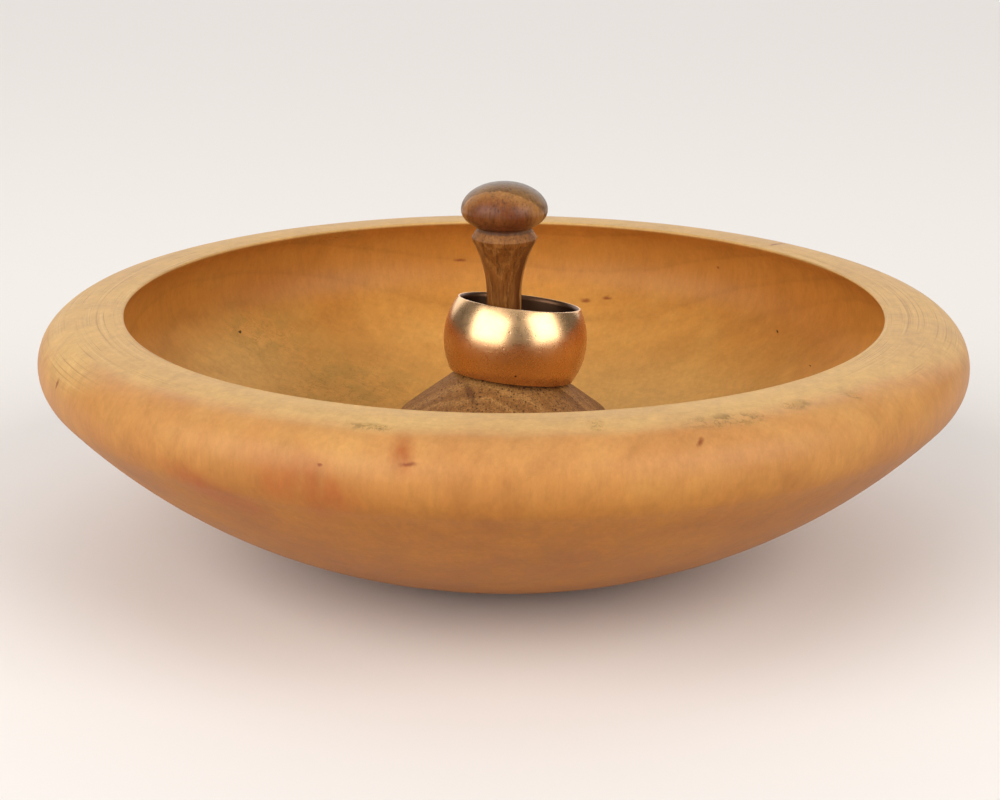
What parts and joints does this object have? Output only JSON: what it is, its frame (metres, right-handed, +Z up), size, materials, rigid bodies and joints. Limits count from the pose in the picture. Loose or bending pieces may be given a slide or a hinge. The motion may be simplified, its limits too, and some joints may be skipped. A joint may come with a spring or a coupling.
{
  "type": "ring bowl",
  "caption": "Turned wooden ring dish with a rolled rim, a walnut ring post on a cone glued in its middle, and a wide domed gold band resting aslant on the post.",
  "frame": {"origin": "on the bowl's turning axis, in the plane of the ring under the foot that the dish stands on", "axes": "+Z up along the turning axis; +X to the right and +Y away from someone facing the dish, so that the gold band's top leans to the right and away, towards +X and +Y"},
  "size_m": [0.1398, 0.1398, 0.056],
  "materials": {
    "bowl_wood": "pale orange-tan hardwood, satin oil and wax over fine turning marks",
    "walnut": "walnut, satin on the knob and stem, drier and open-pored on the cone",
    "gold": "warm rose-yellow gold, satin from wear, with fine scratches"
  },
  "bodies": {
    "dish": {"bowl": "bowl_wood", "ring_post": "walnut"},
    "band": {"gold_band": "gold"}
  },
  "joints": [
    {"name": "band_lift", "type": "slide", "parent": "dish", "child": "band", "axis": [-0.0848, -0.0795, 0.9932], "range_m": [0, 0.04]}
  ]
}
